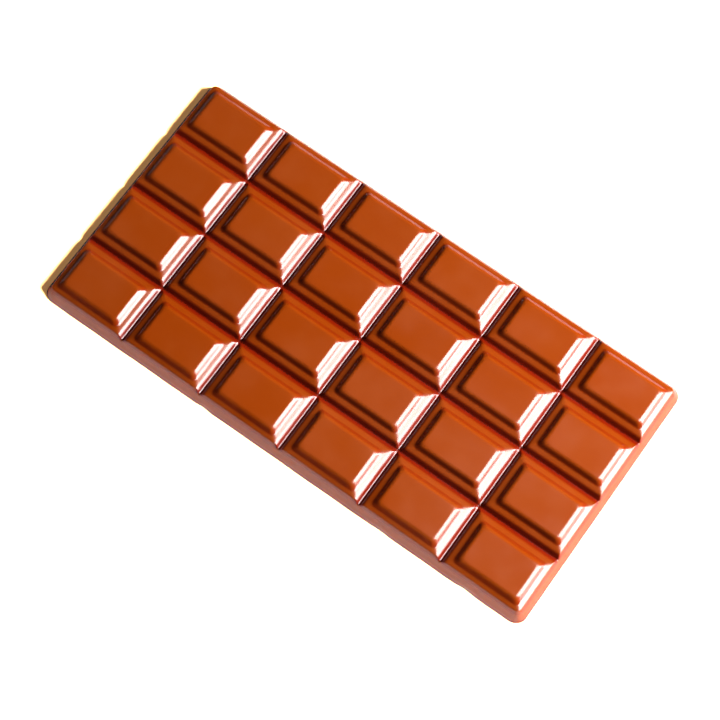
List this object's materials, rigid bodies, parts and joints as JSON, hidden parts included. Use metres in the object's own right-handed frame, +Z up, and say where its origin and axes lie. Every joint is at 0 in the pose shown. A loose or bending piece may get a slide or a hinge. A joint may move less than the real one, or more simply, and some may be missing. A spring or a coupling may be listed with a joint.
{
  "type": "chocolate bar",
  "caption": "Unwrapped flat bar of milk chocolate: rectangular pieces with stepped sides and plain tops, parted by V-shaped break grooves, with drafted side walls and a flat back",
  "frame": {"origin": "The centre of the flat back, which is the underside that the bar lies on.", "axes": "+X runs along the bar's length, +Y across it, and +Z up from the back to the tops of the pieces."},
  "size_m": [0.1586, 0.079, 0.007],
  "materials": {
    "milk_chocolate": "moulded milk chocolate with a soft shine"
  },
  "bodies": {
    "root": {"chocolate_bar": "milk_chocolate"}
  },
  "joints": []
}
